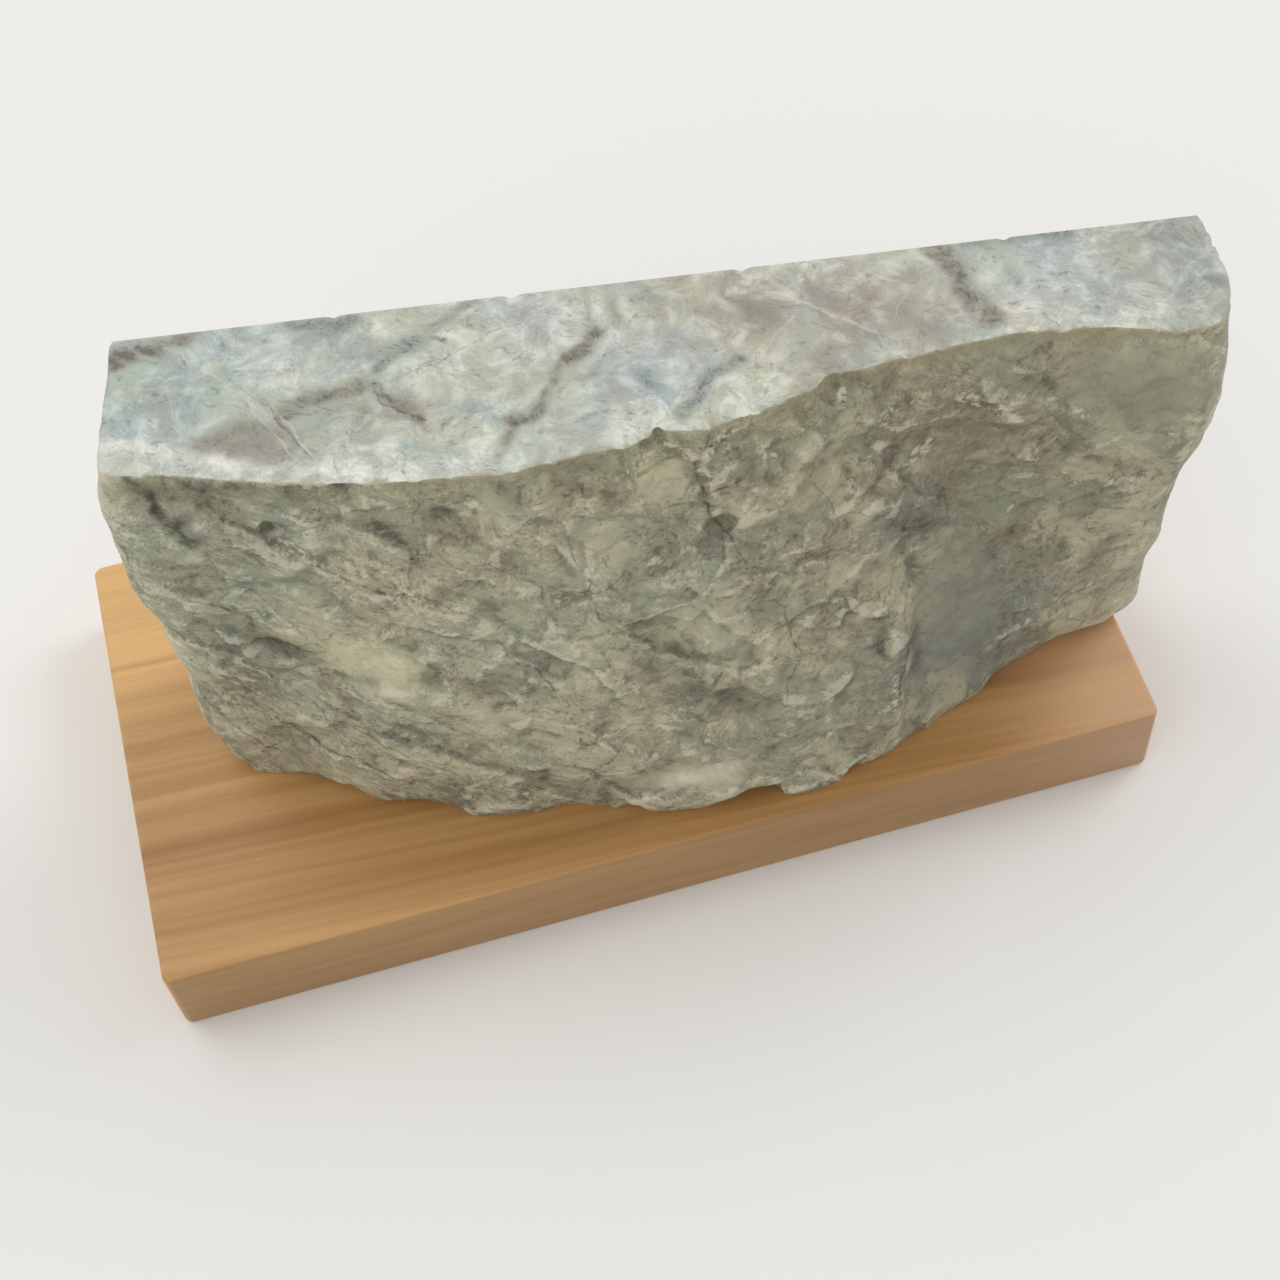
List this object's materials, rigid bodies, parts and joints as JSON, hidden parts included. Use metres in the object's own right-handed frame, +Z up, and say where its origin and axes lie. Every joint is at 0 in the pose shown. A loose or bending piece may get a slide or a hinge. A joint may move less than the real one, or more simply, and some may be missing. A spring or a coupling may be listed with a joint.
{
  "type": "rough jade offcut on a wooden board",
  "caption": "Sawn slab of mottled grey-green jade with a rough natural front, standing on a plain rectangular wooden board.",
  "frame": {"origin": "centre of the board's underside", "axes": "+X along the board to the right as seen from the rough front, +Y towards the stone's sawn back, +Z up"},
  "size_m": [0.1569, 0.073, 0.0855],
  "materials": {
    "jade": "mottled grey-green, rough broken skin, smooth satin sawn top",
    "board_wood": "smooth light brown wood, clear satin finish"
  },
  "bodies": {
    "root": {"jade_stone": "jade", "wooden_board": "board_wood"}
  },
  "joints": []
}
